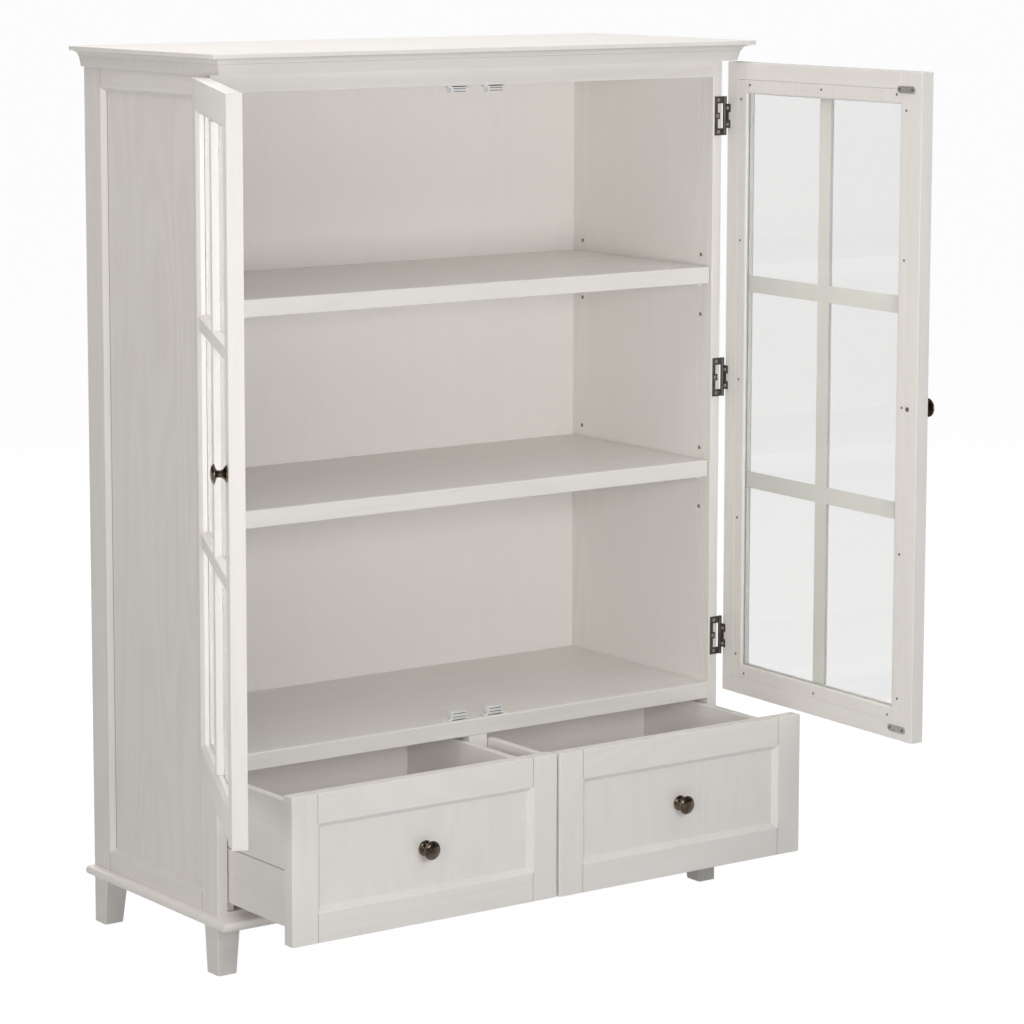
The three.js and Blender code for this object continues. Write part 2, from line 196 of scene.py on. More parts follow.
# ---- node materials ----
class Graph:
    """A material's node tree, with short calls to fill it."""

    def __init__(self, name):
        self.material = bpy.data.materials.new(name)
        self.material.use_nodes = True
        self.tree = self.material.node_tree
        self.tree.nodes.clear()
        self.place = self.add("TexCoord").outputs["Object"]
        self.axes = self.add("SeparateXYZ", Vector=self.place).outputs

    def add(self, kind, settings=(), **inputs):
        node = self.tree.nodes.new("ShaderNode" + kind)
        for key, value in dict(settings).items():
            setattr(node, key, value)
        for key, value in inputs.items():
            self.feed(node.inputs[key.replace("_", " ")], value)
        return node

    def feed(self, socket, value):
        if isinstance(value, bpy.types.NodeSocket):
            self.tree.links.new(value, socket)
        else:
            socket.default_value = value

    def math(self, operation, *values):
        node = self.add("Math", {"operation": operation})
        for socket, value in zip(node.inputs, values):
            self.feed(socket, value)
        return node.outputs[0]

    def total(self, terms):
        """The sum of weight times value over (weight, value) terms."""
        result = 0.0
        for weight, value in terms:
            result = self.math("MULTIPLY_ADD", value, weight, result)
        return result

    def noise(self, scale, vector=None, detail=3.0, roughness=0.55, distortion=0.0):
        node = self.add(
            "TexNoise",
            Vector=vector or self.place,
            Scale=scale,
            Detail=detail,
            Roughness=roughness,
            Distortion=distortion,
        )
        return node.outputs["Fac"]

    def stretched(self, scale, shift=0.0, turn=0.0):
        """Object coordinates, turned about the vertical, then scaled for each axis."""
        turned_place = self.place
        if turn:
            spin = self.add("VectorRotate", {"rotation_type": "Z_AXIS"}, Vector=self.place, Angle=turn)
            turned_place = spin.outputs[0]
        away = (shift, shift * 0.7, shift * 1.3)
        node = self.add("Mapping", Vector=turned_place, Scale=scale, Location=away)
        return node.outputs[0]

    def ramp(self, value, stops):
        """A colour or grey that runs through (position, colour) stops."""
        node = self.add("ValToRGB", Fac=value)
        elements = node.color_ramp.elements
        while len(elements) < len(stops):
            elements.new(0.5)
        for element, (position, colour) in zip(elements, stops):
            element.position = position
            element.color = (*colour, 1)
        return node.outputs["Color"]

    def blend(self, factor, a, b):
        node = self.add("Mix", {"data_type": "RGBA"})
        self.feed(node.inputs[0], factor)
        self.feed(node.inputs[6], a)
        self.feed(node.inputs[7], b)
        return node.outputs[2]

    def bump(self, height, distance, strength=1.0, normal=None):
        node = self.add("Bump", Height=height, Distance=distance, Strength=strength)
        if normal is not None:
            self.feed(node.inputs["Normal"], normal)
        return node.outputs["Normal"]

    def inside(self, axis, lo, hi):
        """1 where a coordinate lies between two values, otherwise 0."""
        above = self.math("GREATER_THAN", self.axes[axis], lo)
        return self.math("MULTIPLY", above, self.math("LESS_THAN", self.axes[axis], hi))

    def finish(self, **sockets):
        shader = self.add("BsdfPrincipled")
        for key, value in sockets.items():
            self.feed(shader.inputs[key.replace("_", " ")], value)
        out = self.add("OutputMaterial")
        self.tree.links.new(shader.outputs[0], out.inputs["Surface"])
        return self.material


PAINT_DARK = (0.783, 0.752, 0.720)
PAINT_MID = (0.841, 0.812, 0.782)
PAINT_LIGHT = (0.872, 0.846, 0.817)
# Painted light and shade: the back panel, drawer insides and base moulding get lighter copies of the paint,
# and the cornice a darker one, for how light falls on them.
BACK_PANEL_PAINTED_LIGHT = 1.08
DRAWER_INSIDE_PAINTED_LIGHT = 1.1
CORNICE_PAINTED_SHADE = 0.94
BASE_PAINTED_LIGHT = 1.1
# The arris paint is lighter than the faces: partly wear, partly a painted highlight along the rounded edges.
EDGE_DARK = (0.83, 0.803, 0.773)
EDGE_LIGHT = (0.90, 0.883, 0.858)
# Colour of the dark lines: real joints between boards, and also painted shadow lines in gaps and creases.
SEAM_AND_SHADOW_COLOUR = (0.30, 0.265, 0.235, 1)
BRUSH_ACROSS = 620
BRUSH_ALONG = 9
PORE_ACROSS = 170
PORE_ALONG = 2.6
FIGURE_ACROSS = 7.5
FIGURE_ALONG = 1.1
FIGURE_LINES = 85
SEAM_HALF = 0.45 * MM
QUIET_SHARE = 0.7


def grain_fields(graph, along, shift, turn):
    """(brush marks, pores, growth figure) of boards whose grain runs along one axis."""
    def scaled(across, with_grain):
        scale = [across] * 3
        scale[along] = with_grain
        return graph.stretched(scale, shift, turn)

    brush = graph.noise(1, scaled(BRUSH_ACROSS, BRUSH_ALONG), 2.0, 0.6)
    pores = graph.noise(1, scaled(PORE_ACROSS, PORE_ALONG), 3.0, 0.6)
    field = graph.noise(1, scaled(FIGURE_ACROSS, FIGURE_ALONG), 1.5, 0.45, 0.35)
    lines = graph.math("SINE", graph.math("MULTIPLY", field, FIGURE_LINES))
    return brush, pores, graph.math("MULTIPLY_ADD", lines, 0.5, 0.5)


def paint(
    name,
    along,
    shift=0.0,
    turn=0.0,
    joinery=None,
    seams_and_shadow_lines=(),
    edge=False,
    relief=1.0,
    painted_light_scale=1.0,
    contrast=0.6,
    quiet=None,
    gloss=1.0,
):
    """Satin ivory paint over brushed pine.

    joinery is (axis, lo, hi, cross axis, recess lo, recess hi): beyond the recess, and between lo and hi,
    the boards are rails with their grain along that axis, and they meet the stiles in fine lines.
    The seam and shadow lines are (axis, place, half width, depth of tone, cross axis, from, to): joints
    between boards, and painted shadow lines in gaps and creases.
    quiet is an (axis, lo, hi) stretch where the grain shows less, and gloss scales the paint's sheen. The
    tone scale lightens or darkens the paint, as painted light or shade.
    """
    graph = Graph(name)
    fields = grain_fields(graph, along, shift, turn)
    line_masks = []
    if joinery:
        axis, lo, hi, cross, start, stop = joinery
        beyond = graph.math("SUBTRACT", 1.0, graph.inside(cross, start, stop))
        rails = graph.math("MULTIPLY", beyond, graph.inside(axis, lo, hi))
        rail_fields = grain_fields(graph, axis, shift + 3.1, turn)
        mixed = []
        for stile, rail in zip(fields, rail_fields):
            change = graph.math("SUBTRACT", rail, stile)
            mixed.append(graph.math("MULTIPLY_ADD", change, rails, stile))
        fields = mixed
        for place in (lo, hi):
            line = graph.inside(axis, place - SEAM_HALF, place + SEAM_HALF)
            line_masks.append(graph.math("MULTIPLY", line, graph.math("MULTIPLY", beyond, 0.8)))
    for axis, place, half, tone, cross, start, stop in seams_and_shadow_lines:
        line = graph.inside(axis, place - half, place + half)
        reach = graph.math("MULTIPLY", graph.inside(cross, start, stop), tone)
        line_masks.append(graph.math("MULTIPLY", line, reach))
    brush, pores, figure = fields
    clouds = graph.noise(4.5, None, 4.0, 0.6)
    streaks = graph.total([(0.30, brush), (0.48, pores), (0.18, figure), (0.42, clouds), (1.0, -0.19)])
    streaks = graph.math("MULTIPLY_ADD", streaks, contrast, 0.5 * (1 - contrast))
    if quiet:
        calm = graph.math("MULTIPLY", graph.inside(*quiet), QUIET_SHARE)
        streaks = graph.math("MULTIPLY_ADD", graph.math("SUBTRACT", 0.5, streaks), calm, streaks)
    # On arrises the paint is lighter: wear mottle, and a lighter tone that is a painted highlight.
    if edge:
        worn = graph.noise(95, None, 4.0, 0.7)
        tone = graph.total([(0.6, streaks), (0.4, worn), (1.0, 0.0)])
        colour = graph.ramp(tone, [(0.3, EDGE_DARK), (0.62, EDGE_LIGHT)])
    else:
        # A tone scale other than 1 paints light or shade into this paint.
        tones = [tuple(c * painted_light_scale for c in tone) for tone in (PAINT_DARK, PAINT_MID, PAINT_LIGHT)]
        colour = graph.ramp(streaks, list(zip((0.2, 0.47, 0.72), tones)))
    height = graph.total([(0.5, brush), (0.65, pores), (0.22, figure)])
    for mask in line_masks:
        colour = graph.blend(mask, colour, SEAM_AND_SHADOW_COLOUR)
        height = graph.math("MULTIPLY_ADD", mask, -1.5, height)
    roughness = graph.total([(0.16, pores), (0.10, clouds), (1.0, 0.26 if edge else 0.32)])
    return graph.finish(
        Base_Color=colour,
        Roughness=roughness,
        Specular_IOR_Level=0.42 * gloss,
        Coat_Weight=0.12 * gloss,
        Coat_Roughness=0.38,
        Normal=graph.bump(height, 0.22 * MM * relief, 0.75),
    )


def metal(name, dark, light, metallic, roughness, scale, rubbed=None):
    """Patinated metal; rubbed is the colour that shows on its high edges."""
    graph = Graph(name)
    patina = graph.noise(scale, None, 5.0, 0.62)
    speckle = graph.noise(scale * 9, None, 3.0, 0.6)
    tone = graph.total([(0.75, patina), (0.35, speckle), (1.0, -0.05)])
    colour = graph.ramp(tone, [(0.36, dark), (0.68, light)])
    if rubbed:
        edge = graph.add("NewGeometry").outputs["Pointiness"]
        ridge = graph.ramp(edge, [(0.505, (0, 0, 0)), (0.56, (1, 1, 1))])
        wear = graph.math("MULTIPLY", ridge, graph.math("MULTIPLY_ADD", patina, 0.9, 0.1))
        colour = graph.blend(wear, colour, (*rubbed, 1))
    return graph.finish(
        Base_Color=colour,
        Metallic=metallic,
        Roughness=graph.total([(0.22, speckle), (0.12, patina), (1.0, roughness - 0.17)]),
        Specular_IOR_Level=0.5,
        Normal=graph.bump(speckle, 0.06 * MM, 0.6),
    )


def plastic(name, shade):
    """Moulded plastic with a faint sparked texture."""
    graph = Graph(name)
    cloud = graph.noise(60, None, 3.0, 0.5)
    spark = graph.noise(2600, None, 2.0, 0.5)
    low = tuple(c * 0.93 for c in shade)
    colour = graph.ramp(cloud, [(0.3, low), (0.65, shade)])
    rough = graph.total([(0.2, spark), (0.1, cloud), (1.0, 0.2)])
    return graph.finish(Base_Color=colour, Roughness=rough, Normal=graph.bump(spark, 0.03 * MM, 0.5))


def clear_glass(name):
    """Float glass with a faint wave and a trace of dust."""
    graph = Graph(name)
    wave = graph.noise(3.0, None, 1.0, 0.4)
    dust = graph.noise(140, None, 5.0, 0.7)
    tint = graph.ramp(dust, [(0.3, (0.835, 0.845, 0.838)), (0.75, (0.86, 0.868, 0.862))])
    smooth = graph.total([(0.03, dust), (1.0, -0.005)])
    shader = graph.add("BsdfPrincipled")
    settings = {
        "Base Color": tint,
        "Roughness": smooth,
        "IOR": 1.45,
        "Transmission Weight": 1.0,
        "Normal": graph.bump(wave, 0.3 * MM, 0.15),
    }
    for key, value in settings.items():
        graph.feed(shader.inputs[key], value)
    shadow = graph.add("LightPath").outputs["Is Shadow Ray"]
    passing = graph.add("BsdfTransparent", Color=(0.79, 0.805, 0.785, 1))
    mixed = graph.add("MixShader")
    graph.feed(mixed.inputs[0], shadow)
    graph.feed(mixed.inputs[1], shader.outputs[0])
    graph.feed(mixed.inputs[2], passing.outputs[0])
    out = graph.add("OutputMaterial")
    graph.tree.links.new(mixed.outputs[0], out.inputs["Surface"])
    return graph.material


BRONZE = metal(
    "antique_bronze", (0.028, 0.021, 0.017), (0.135, 0.100, 0.073), 0.9, 0.2, 70, (0.42, 0.32, 0.225)
)
HINGE_STEEL = metal(
    "bronzed_steel", (0.030, 0.026, 0.024), (0.062, 0.054, 0.050), 0.6, 0.42, 90, (0.14, 0.125, 0.115)
)
HINGE_SCREW = metal(
    "hinge_screws", (0.16, 0.15, 0.14), (0.34, 0.32, 0.30), 0.85, 0.34, 160, (0.6, 0.57, 0.54)
)
SCREW_DARK = metal(
    "dark_screws", (0.030, 0.025, 0.022), (0.085, 0.073, 0.064), 0.7, 0.42, 160, (0.3, 0.27, 0.24)
)
SCREW_STEEL = metal(
    "bright_screws", (0.30, 0.29, 0.28), (0.55, 0.54, 0.52), 0.9, 0.36, 160, (0.8, 0.79, 0.77)
)
PLATE_STEEL = metal(
    "zinc_plate", (0.22, 0.22, 0.21), (0.40, 0.40, 0.385), 0.8, 0.42, 140, (0.6, 0.6, 0.58)
)
CATCH_STEEL = metal("catch_steel", (0.16, 0.16, 0.16), (0.26, 0.26, 0.26), 0.5, 0.5, 120)
WHITE_PLASTIC = plastic("white_plastic", (0.86, 0.86, 0.85))
CLEAR_PLASTIC = plastic("milky_plastic", (0.80, 0.80, 0.79))
# A dark plastic that paints the shade inside the empty shelf pin holes.
HOLE_SHADE_PLASTIC = plastic("painted_hole_shade", (0.20, 0.185, 0.17))
GLASS = clear_glass("float_glass")


# ---- the painted CAD nodes ----
def dress(node, surface, arris=None, soft=0.8, segments=3):
    """A finish for a CAD node, with rounded arrises in their own, lighter finish: partly wear, partly a
    painted highlight.
    """
    obj = NODES[node]
    finishes = [surface] + ([arris] if arris else [])
    while len(obj.material_slots) < len(finishes):
        obj.data.materials.append(None)
    for place, material in zip(obj.material_slots, finishes):
        place.link = "OBJECT"
        place.material = material
    weld = obj.modifiers.new("join_seams", "WELD")
    weld.merge_threshold = 0.00001
    flat = obj.modifiers.new("whole_faces", "DECIMATE")
    flat.decimate_type = "DISSOLVE"
    flat.angle_limit = math.radians(0.5)
    bevel = obj.modifiers.new("soft_arrises", "BEVEL")
    bevel.width = soft * MM
    bevel.segments = segments
    bevel.limit_method = "ANGLE"
    bevel.angle_limit = math.radians(32)
    bevel.use_clamp_overlap = True
    if arris:
        bevel.material = 1
    weights = obj.modifiers.new("even_shading", "WEIGHTED_NORMAL")
    weights.keep_sharp = False


def row_y(y):
    return FRONT_Y + y * MM


SIDE_LO, SIDE_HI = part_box("left_side_frame")
STILE = 43 * MM
TOP_RAIL = 53 * MM
REAR_STILE = 44 * MM
PANEL_GAP_IN = 6.2 * MM
SIDE_RECESS = (SIDE_LO.z + STILE, SIDE_HI.z - TOP_RAIL)
COVE_FOOT = 15.6 * MM
DRAWER_GROOVE_UP = 82 * MM
DEPTH_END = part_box("back_panel")[0].y - REAR_STILE

side_joinery = (Y, SIDE_LO.y + STILE, DEPTH_END, Z, *SIDE_RECESS)
# The place of the painted shadow line in the gap between each side panel and its rear stile.
gap_shadow_at = DEPTH_END - PANEL_GAP_IN
BOARD_LINES = ((202, 0.16), (118, 0.10))
board_seams = [(Y, row_y(130), 0.3 * MM, 0.12, Z, 0, 2), (Y, row_y(243), 0.3 * MM, 0.10, Z, 0, 2)]

side_paint = paint("paint_side_frame", Z, 0.4, joinery=side_joinery, contrast=0.9)
upright_paint = paint("paint_upright", Z, 2.7)
board_paint = paint("paint_board", X, 5.3, seams_and_shadow_lines=board_seams)
top_paint = paint("paint_top", X, 7.7, relief=0.7, gloss=0.0)
# Painted shadow: a dark line along the foot of the cornice's cove, for the shade in the step under it.
cove_shadow_line = [(Z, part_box("cornice")[0].z + COVE_FOOT, 0.55 * MM, 0.34, Z, 0, 2)]
# Painted shade darkens the cornice paint; painted light lightens the base, back panel and drawer-inside
# paints.
cornice_paint = paint("paint_cornice", X, 8.1, seams_and_shadow_lines=cove_shadow_line, relief=0.7, painted_light_scale=CORNICE_PAINTED_SHADE)
base_paint = paint("paint_base", X, 8.9, relief=0.7, painted_light_scale=BASE_PAINTED_LIGHT)
back_paint = paint("paint_back", Z, 9.1, relief=0.3, painted_light_scale=BACK_PANEL_PAINTED_LIGHT, contrast=0.25)
box_paint = paint("paint_drawer_inside", X, 12.4, relief=0.6, painted_light_scale=DRAWER_INSIDE_PAINTED_LIGHT)
depth_paint = paint("paint_drawer_side", Y, 11.2, relief=0.7)
# Arris paints, lighter than the faces: partly wear, partly a painted highlight.
edge_upright = paint("edge_upright", Z, 2.2, edge=True)
edge_board = paint("edge_board", X, 4.2, edge=True)
edge_depth = paint("edge_depth", Y, 6.2, edge=True)

for side, sign in SIDES:
    dress(f"{side}_side_frame", side_paint, edge_upright, 1.0)
    panel_lo, panel_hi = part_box(f"{side}_side_panel")
    middle = (panel_lo.x + panel_hi.x) / 2
    outside = sorted((middle, middle + sign * 1))
    inside = sorted((middle, middle - sign * 1))
    # Painted shadow: a dark line on the side panel where it meets the rear stile's bevel, for the shade in
    # that gap.
    lines = [(Y, gap_shadow_at, 0.7 * MM, 0.85, X, *outside)]
    lines += [(Y, row_y(y), 0.4 * MM, tone, X, *outside) for y, tone in BOARD_LINES]
    panel_paint = paint(f"paint_{side}_panel", Z, 1.9, seams_and_shadow_lines=lines, contrast=1.0, quiet=(X, *inside))
    dress(f"{side}_side_panel", panel_paint, edge_upright, 0.4, 2)
    dress(f"{side}_front_foot", upright_paint, edge_upright, 1.5)
    dress(f"{side}_rear_foot", upright_paint, edge_upright, 1.5)
    dress(f"{side}_outer_runner", depth_paint, edge_depth, 0.8)
    dress(f"{side}_inner_runner", depth_paint, edge_depth, 0.8)
for node in ("deck", "lower_shelf", "upper_shelf"):
    dress(node, board_paint, edge_board, 2.2, 4)
dress("ceiling_board", board_paint, edge_board, 1.2)
dress("bottom_board", board_paint, edge_board, 1.0)
dress("centre_divider", upright_paint, edge_upright, 1.0)
dress("back_panel", back_paint, edge_upright, 0.5, 2)
dress("cornice", cornice_paint, edge_board, 0.7)
dress("base_moulding", base_paint, edge_board, 0.8)
dress("top_board", top_paint, edge_board, 1.6, 4)

for side, sign in SIDES:
    turn = -math.radians(-JOINTS[f"{side}_door"]["range_deg"][0]) * JOINTS[f"{side}_door"]["axis"][2]
    stile_paint = paint(f"paint_{side}_door_stile", Z, 13.0 + sign)
    rail_paint = paint(f"paint_{side}_door_rail", X, 15.0 + sign, turn=turn)
    bar_paint = paint(f"paint_{side}_bars", Z, 17.0 + sign, relief=0.6)
    for part in ("hinge_stile", "lock_stile"):
        dress(f"{side}_door_{part}", stile_paint, edge_upright, 0.9)
    for part in ("top_rail", "bottom_rail"):
        dress(f"{side}_door_{part}", rail_paint, edge_upright, 0.9)
    dress(f"{side}_door_glazing_bars", bar_paint, edge_upright, 0.6)
    dress(f"{side}_door_glass", GLASS, None, 0.4, 2)
    for place in HINGE_PLACES:
        dress(f"{side}_door_{place}_hinge_leaf", HINGE_STEEL, None, 0.35, 2)
        dress(f"{side}_case_{place}_hinge_leaf", HINGE_STEEL, None, 0.35, 2)

    lo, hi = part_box(f"{side}_drawer_front")
    joinery = (X, lo.x + STILE, hi.x - STILE, Z, lo.z + STILE, hi.z - STILE)
    front_paint = paint(f"paint_{side}_front", Z, 21.0 + sign, joinery=joinery)
    front_edge = paint(f"edge_{side}_front", X, 23.0 + sign, joinery=joinery, edge=True)
    dress(f"{side}_drawer_front", front_paint, front_edge, 1.1)
    groove_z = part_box(f"{side}_drawer_outer_side")[0].z + DRAWER_GROOVE_UP
    groove = [(Z, groove_z, 1.0 * MM, 0.75, Y, lo.y, hi.y + 0.25)]
    side_seams = paint(f"paint_{side}_drawer_box", Y, 25.0 + sign, seams_and_shadow_lines=groove, relief=0.7)
    for part in ("outer_side", "inner_side"):
        dress(f"{side}_drawer_{part}", side_seams, edge_depth, 1.4)
    dress(f"{side}_drawer_back", box_paint, edge_board, 1.2)
    dress(f"{side}_drawer_bottom", box_paint, edge_board, 0.5, 2)


# ---- knobs ----
KNOB_PROFILE = [
    (0, 0), (0, 11.4), (0.6, 11.7), (1.3, 11.6), (2.0, 11.0), (3.0, 9.3), (4.4, 7.2), (6.4, 5.6), (8.4, 4.7),
    (9.5, 4.4), (10.0, 5.0), (10.7, 5.3), (11.3, 5.0), (11.8, 4.4), (12.6, 4.7), (13.8, 6.0), (14.9, 8.3),
    (15.8, 10.8), (16.6, 13.0), (17.1, 13.8), (17.9, 14.0), (18.5, 13.7), (18.8, 13.0), (18.75, 12.4),
    (19.1, 12.0), (20.0, 10.9), (21.0, 8.7), (21.7, 5.8), (22.05, 2.8), (22.15, 0),
]


def knob_builder(node, outward):
    """Draws the turned knob that stands on the CAD knob's seat."""
    lo, hi = shut_box(node)
    seat = (lo + hi) / 2
    seat.y = hi.y
    return lambda bm: turned(bm, KNOB_PROFILE, seat, outward, 64)


FORWARD = Vector((0, -1, 0))
BACKWARD = Vector((0, 1, 0))
for side, _ in SIDES:
    for body in (f"{side}_door", f"{side}_drawer"):
        node = f"{body}_knob"
        turn_knob = knob_builder(node, FORWARD)
        made = make_piece(f"{node}_turned", body, turn_knob, [BRONZE], [node])
        made.modifiers.new("round", "SUBSURF").levels = 1
        made.modifiers["round"].render_levels = 1


# ---- hinge screws and barrels ----
LEAF_SCREW_X = 452.6
TAB_SCREW_X = 450.6
DOOR_SCREW_X = 454.6
FRAME_SCREW_RISE = 24.5
DOOR_SCREW_RISE = 12.5
HINGE_SCREW_R = 2.7
CASE_SCREW_R = 3.2
LEAF_FACE = 1.6
CASE_SCREW_SUNK = 1.0
for side, sign in SIDES:
    case_spots = []
    for place in HINGE_PLACES:
        lo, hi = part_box(f"{side}_case_{place}_hinge_leaf")
        centre_z = (lo.z + hi.z) / 2
        face_y = FRONT_Y - (LEAF_FACE - CASE_SCREW_SUNK) * MM
        outer_x = CASE_X + sign * LEAF_SCREW_X * MM
        tab_x = CASE_X + sign * TAB_SCREW_X * MM
        for rise in (-FRAME_SCREW_RISE, FRAME_SCREW_RISE):
            case_spots.append(Vector((outer_x, face_y, centre_z + rise * MM)))
        case_spots.append(Vector((tab_x, face_y, centre_z)))

    def case_screws(bm, spots=case_spots):
        for spot in spots:
            screw(bm, spot, FORWARD, CASE_SCREW_R)

    make_piece(f"{side}_case_hinge_screws", "case", case_screws, [HINGE_SCREW])


BARREL_R = 3.2
BARREL_GROOVE = 0.45
BARREL_HALF = 19.0
BARREL_KNUCKLES = 5
KNUCKLE_SOFT = 0.3
GROOVE_HALF = 0.1
BARREL_END = ((0, BARREL_R - KNUCKLE_SOFT), (0, 1.9), (0.9, 1.5), (0.9, 0))


def barrel_profile():
    """A pinned barrel of short knuckles with a fine groove between each pair."""
    profile = [(-BARREL_HALF - out, radius) for out, radius in reversed(BARREL_END)]
    length = 2 * BARREL_HALF / BARREL_KNUCKLES
    for k in range(BARREL_KNUCKLES):
        start = -BARREL_HALF + k * length
        profile += [(start + KNUCKLE_SOFT, BARREL_R), (start + length - KNUCKLE_SOFT, BARREL_R)]
        if k < BARREL_KNUCKLES - 1:
            for step in (-GROOVE_HALF, GROOVE_HALF):
                profile.append((start + length + step, BARREL_R - BARREL_GROOVE))
    profile += [(BARREL_HALF + out, radius) for out, radius in BARREL_END]
    return profile


for side, sign in SIDES:
    pivot = Vector(JOINTS[f"{side}_door"]["pos_m"])

    def barrels(bm, side=side, pivot=pivot):
        for place in HINGE_PLACES:
            lo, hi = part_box(f"{side}_case_{place}_hinge_leaf")
            turned(bm, barrel_profile(), Vector((pivot.x, pivot.y, (lo.z + hi.z) / 2)), UP, 24)

    make_piece(f"{side}_hinge_barrels", "case", barrels, [HINGE_STEEL])


# ---- doors: glass beads, screws, strike plates ----
BEAD_PROFILE = [
    (26.15, 15.3), (26.15, 20.9), (26.5, 21.35), (44.0, 21.35), (46.6, 20.7), (47.7, 19.2), (47.7, 15.3),
]
BEAD_RUNS = ((1, 0), (0, 1), (-1, 0), (0, -1))
BEAD_FACE = 21.4
MITRE_GAP = 0.12
BEAD_SCREW_R = 1.9
BEAD_SCREW_IN = 34
BEAD_SCREWS_ALONG = (55, 228, 402)
BEAD_SCREWS_UP = (62, 278, 495, 711, 928)
KNOB_SCREW_R = 3.6
STRIKE_FROM_BOTTOM = 16.5
STRIKE_FROM_TOP = 26.5
STRIKE_IN = 34
STRIKE_HALF = 14.5
STRIKE_R = 5.2
STRIKE_FACE = 22.6
STRIKE_LAYERS = ((21.3, 0), (22.3, 0), (STRIKE_FACE, 0.35))
STRIKE_STEPS = 24
STRIKE_SCREWS_IN = (48, 20)
STRIKE_SCREW_R = 2.4


def bead_corner(end, inset, width, height):
    """The corner, in millimetres, that a line of the bead at this inset turns at."""
    far_s, far_z = width - inset, height - inset
    return ((inset, inset), (far_s, inset), (far_s, far_z), (inset, far_z))[end % 4]


for side, sign in SIDES:
    body = f"{side}_door"
    boxes = [shut_box(f"{body}_{part}") for part in ("hinge_stile", "lock_stile", "top_rail", "bottom_rail")]
    lo = Vector([min(b[0][i] for b in boxes) for i in range(3)])
    hi = Vector([max(b[1][i] for b in boxes) for i in range(3)])

    def door_point(s, depth, z, lo=lo, hi=hi, sign=sign):
        """s runs from the hinge edge to the free edge, depth from the outer face inwards, z up."""
        x = hi.x - s * MM if sign > 0 else lo.x + s * MM
        return Vector((x, lo.y + depth * MM, lo.z + z * MM))

    width, height = (hi.x - lo.x) / MM, (hi.z - lo.z) / MM

    def beads(bm, point=door_point, width=width, height=height):
        for k, run in enumerate(BEAD_RUNS):
            sections = []
            for end, slip in ((k, MITRE_GAP), (k + 1, -MITRE_GAP)):
                section = []
                for inset, depth in BEAD_PROFILE:
                    corner = bead_corner(end, inset, width, height)
                    section.append(point(corner[0] + run[0] * slip, depth, corner[1] + run[1] * slip))
                sections.append(section)
            loft(bm, sections)

    bead_paint = paint(f"paint_{side}_beads", Z, 31.0 + sign, relief=0.5)
    make_piece(f"{body}_glass_beads", body, beads, [bead_paint])

    spots = [(s, z) for s in BEAD_SCREWS_ALONG for z in (BEAD_SCREW_IN, height - BEAD_SCREW_IN)]
    spots += [(s, z) for s in (BEAD_SCREW_IN, width - BEAD_SCREW_IN) for z in BEAD_SCREWS_UP]

    def bead_screws(bm, spots=spots, point=door_point):
        for s, z in spots:
            screw(bm, point(s, BEAD_FACE, z), BACKWARD, BEAD_SCREW_R)

    make_piece(f"{body}_bead_screws", body, bead_screws, [SCREW_DARK])

    knob_lo, knob_hi = shut_box(f"{body}_knob")
    knob_spot = Vector(((knob_lo.x + knob_hi.x) / 2, hi.y, (knob_lo.z + knob_hi.z) / 2))

    def knob_screw(bm, spot=knob_spot):
        screw(bm, spot, BACKWARD, KNOB_SCREW_R)

    make_piece(f"{body}_knob_screw", body, knob_screw, [SCREW_DARK])

    strike_levels = (STRIKE_FROM_BOTTOM, height - STRIKE_FROM_TOP)

    def strikes(bm, point=door_point, width=width, levels=strike_levels):
        for z in levels:
            sections = []
            for depth, inset in STRIKE_LAYERS:
                ring = []
                for i in range(STRIKE_STEPS):
                    angle = math.tau * i / STRIKE_STEPS
                    end = STRIKE_HALF if math.cos(angle) > 0 else -STRIKE_HALF
                    reach = STRIKE_R - inset
                    s = width - STRIKE_IN + end + reach * math.cos(angle)
                    ring.append(point(s, depth, z + reach * math.sin(angle)))
                sections.append(ring)
            loft(bm, sections)

    def strike_screws(bm, point=door_point, width=width, levels=strike_levels):
        for z in levels:
            for inset in STRIKE_SCREWS_IN:
                screw(bm, point(width - inset, STRIKE_FACE, z), BACKWARD, STRIKE_SCREW_R)

    make_piece(f"{body}_strike_plates", body, strikes, [PLATE_STEEL])
    make_piece(f"{body}_strike_screws", body, strike_screws, [SCREW_DARK])

    leaf_spots = []
    for place in HINGE_PLACES:
        leaf_lo, leaf_hi = shut_box(f"{body}_{place}_hinge_leaf")
        z = (leaf_lo.z + leaf_hi.z) / 2
        for rise in (-DOOR_SCREW_RISE, DOOR_SCREW_RISE):
            leaf_spots.append(Vector((CASE_X + sign * DOOR_SCREW_X * MM, leaf_hi.y, z + rise * MM)))

    def leaf_screws(bm, spots=leaf_spots):
        for spot in spots:
            screw(bm, spot, BACKWARD, HINGE_SCREW_R)

    make_piece(f"{body}_hinge_screws", body, leaf_screws, [HINGE_SCREW])


# ---- magnetic catches under the top and on the deck ----
CATCH_FRONT, CATCH_BACK = 3.0, 15.0
CATCH_BODY = (19, 47)
CATCH_EARS = (13, 53)
CATCH_EAR_HIGH = 3
CATCH_STRIP = (22, 44)
CATCH_STRIP_T = 1.1
CATCH_STRIP_PROUD = 0.5
CATCH_STRIP_SHORT = 1.5
CATCH_STRIP_LEVELS = (0.4, 0.75)
CATCH_SCREWS = (16, 50)
CATCH_SCREW_R = 2.3
CATCH_HIGH = {"upper": 11, "lower": 14}


